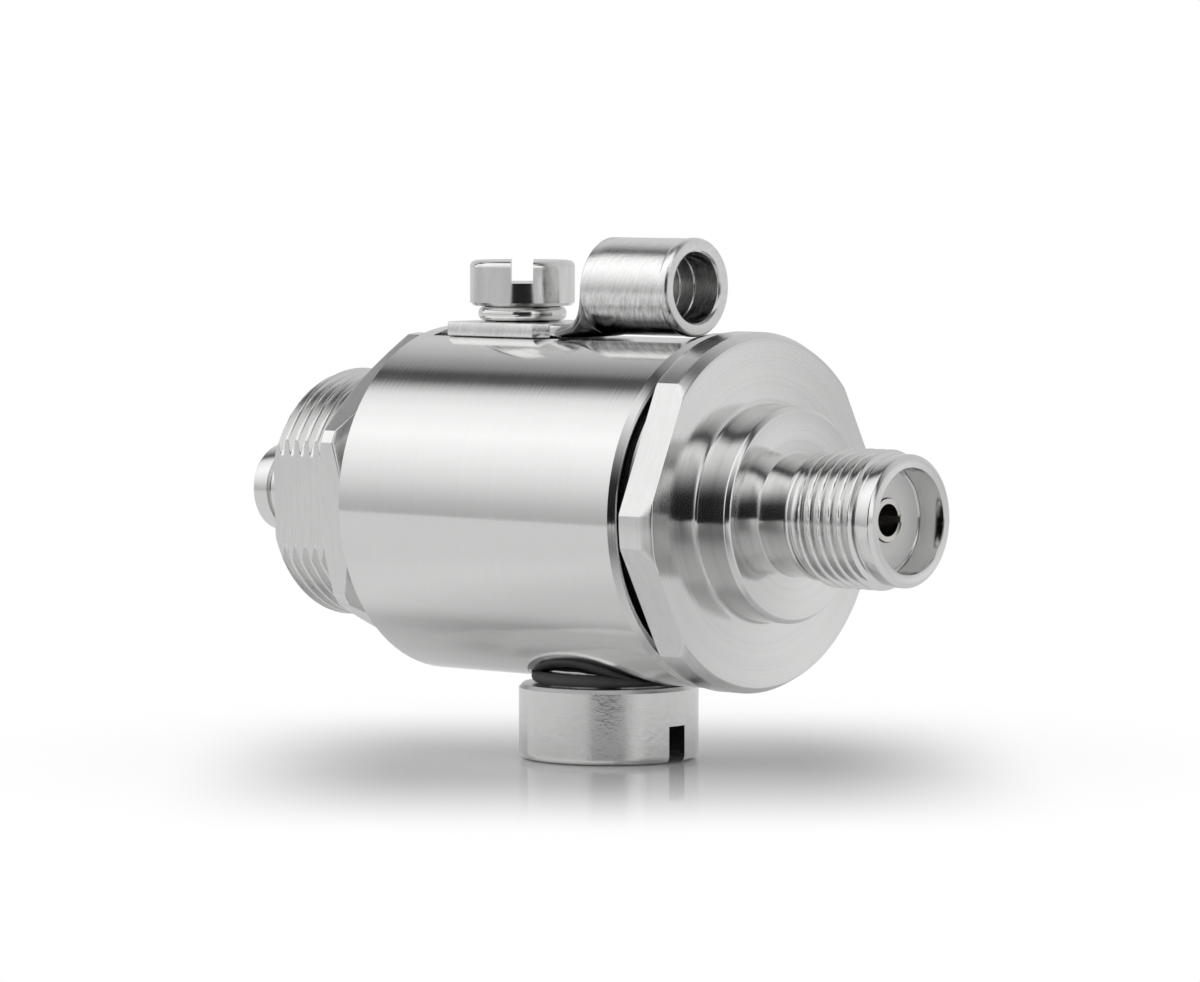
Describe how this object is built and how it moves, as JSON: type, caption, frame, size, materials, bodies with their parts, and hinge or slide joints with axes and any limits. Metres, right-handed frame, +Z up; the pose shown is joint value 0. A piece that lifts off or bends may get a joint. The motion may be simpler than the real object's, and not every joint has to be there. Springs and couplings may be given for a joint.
{
  "type": "coax lightning arrestor",
  "caption": "Inline coax surge arrestor: round metal body, flange with wrench flats and jack on one end, hex collar, panel thread and plain spigot on the other, gas tube port with slotted cap, ground lug on top.",
  "frame": {"origin": "on the surface that the port cap stands on, below the middle of the overall length", "axes": "+X along the line towards the flanged jack, +Z up from the port cap towards the ground lug, +Y away from the side seen in the picture"},
  "size_m": [0.0388, 0.0164, 0.0243],
  "materials": {
    "polished_plate": "polished nickel plate with fine turning marks",
    "turned_plate": "turned nickel plate, satin",
    "drawn_plate": "drawn and crimped tube, plated, finely scratched",
    "contact_plate": "plated spring metal, satin",
    "white_insulator": "white fluoropolymer, waxy",
    "black_rubber": "black rubber, matt",
    "tube_ceramic": "fired alumina, matt",
    "tube_electrode": "copper alloy, satin"
  },
  "bodies": {
    "arrestor": {"main_body": "polished_plate", "near_connector": "turned_plate", "near_dielectric": "white_insulator", "near_contact": "contact_plate", "near_bead": "white_insulator", "near_gasket": "black_rubber", "far_connector": "turned_plate", "far_dielectric": "white_insulator", "far_contact": "contact_plate", "far_bead": "white_insulator", "far_gasket": "black_rubber", "center_conductor": "contact_plate"},
    "gas_tube": {"tube_ceramic": "tube_ceramic", "tube_upper_electrode": "tube_electrode", "tube_lower_electrode": "tube_electrode", "contact_spring": "contact_plate", "cap_oring": "black_rubber"},
    "cap": {"port_cap": "turned_plate"},
    "lug": {"ground_lug": "drawn_plate"},
    "washer": {"lock_washer": "polished_plate"},
    "screw": {"ground_screw": "turned_plate"}
  },
  "joints": [
    {"name": "tube_travel", "type": "slide", "parent": "arrestor", "child": "gas_tube", "axis": [0, 0, -1], "range_m": [0, 0.00225]},
    {"name": "cap_turn", "type": "hinge", "parent": "gas_tube", "child": "cap", "pos_m": [0.00162, 0, 0], "axis": [0, 0, -1], "range_deg": [0, 1081]},
    {"name": "lug_swing", "type": "hinge", "parent": "arrestor", "child": "lug", "pos_m": [-0.00373, 0, 0.0196], "axis": [0, 0, 1], "range_deg": [-20, 20]},
    {"name": "washer_travel", "type": "slide", "parent": "arrestor", "child": "washer", "axis": [0, 0, 1], "range_m": [0, 0.00315]},
    {"name": "screw_turn", "type": "hinge", "parent": "washer", "child": "screw", "pos_m": [-0.00373, 0, 0.021], "axis": [0, 0, 1], "range_deg": [0, 2521]}
  ],
  "couplings": [
    {"joint": "cap_turn", "follows": "tube_travel", "rad_per_m": 8377.6},
    {"joint": "screw_turn", "follows": "washer_travel", "rad_per_m": 13963}
  ]
}
